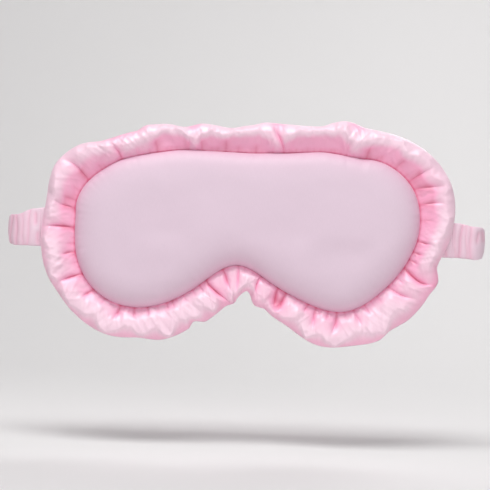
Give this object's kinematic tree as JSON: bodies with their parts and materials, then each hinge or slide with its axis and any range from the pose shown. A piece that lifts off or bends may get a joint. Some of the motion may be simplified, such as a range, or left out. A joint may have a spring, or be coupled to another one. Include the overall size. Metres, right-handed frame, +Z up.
{
  "type": "sleep eye mask",
  "caption": "Padded satin sleep eye mask with a gathered satin ruffle all round and a ruched elastic strap that swings and stretches behind it.",
  "frame": {"origin": "centre of the flat rear face of the back lining, where the mask rests on the wearer", "axes": "+Y out of the rear face towards the wearer, +X along the mask's width, +Z up"},
  "size_m": [0.2746, 0.0323, 0.1294],
  "materials": {
    "panel_satin": "satin",
    "ruffle_satin": "satin",
    "strap_satin": "satin",
    "lining_satin": "satin",
    "wadding": "matte",
    "blackout_cloth": "matte",
    "elastic": "matte",
    "thread": "matte"
  },
  "bodies": {
    "mask": {"front_panel": "panel_satin", "padding": "wadding", "blackout_layer": "blackout_cloth", "back_lining": "lining_satin", "ruffle": "ruffle_satin", "gathering_thread_outer": "thread", "gathering_thread_inner": "thread", "perimeter_seam_thread": "thread", "closing_stitches": "thread", "bar_tack_left": "thread", "bar_tack_right": "thread", "strap_casing_left_end": "strap_satin", "strap_elastic_left_end": "elastic", "strap_casing_right_end": "strap_satin", "strap_elastic_right_end": "elastic"},
    "strap_sides": {"strap_casing_left_side": "strap_satin", "strap_casing_right_side": "strap_satin", "strap_elastic_left_side": "elastic", "strap_elastic_right_side": "elastic"},
    "strap_rear": {"strap_casing_rear": "strap_satin", "strap_elastic_rear": "elastic"}
  },
  "joints": [
    {"name": "strap_swing", "type": "hinge", "parent": "mask", "child": "strap_sides", "pos_m": [0, -0.0026, -0.0025], "axis": [1, 0, 0], "range_deg": [-40, 40], "stiffness_Nm_per_rad": 0.006, "springref_deg": 8.28},
    {"name": "strap_stretch", "type": "slide", "parent": "strap_sides", "child": "strap_rear", "axis": [0, 1, 0], "range_m": [0, 0.165], "stiffness_N_per_m": 20, "deforming": ["strap_casing_left_side", "strap_casing_right_side", "strap_elastic_left_side", "strap_elastic_right_side"]}
  ]
}
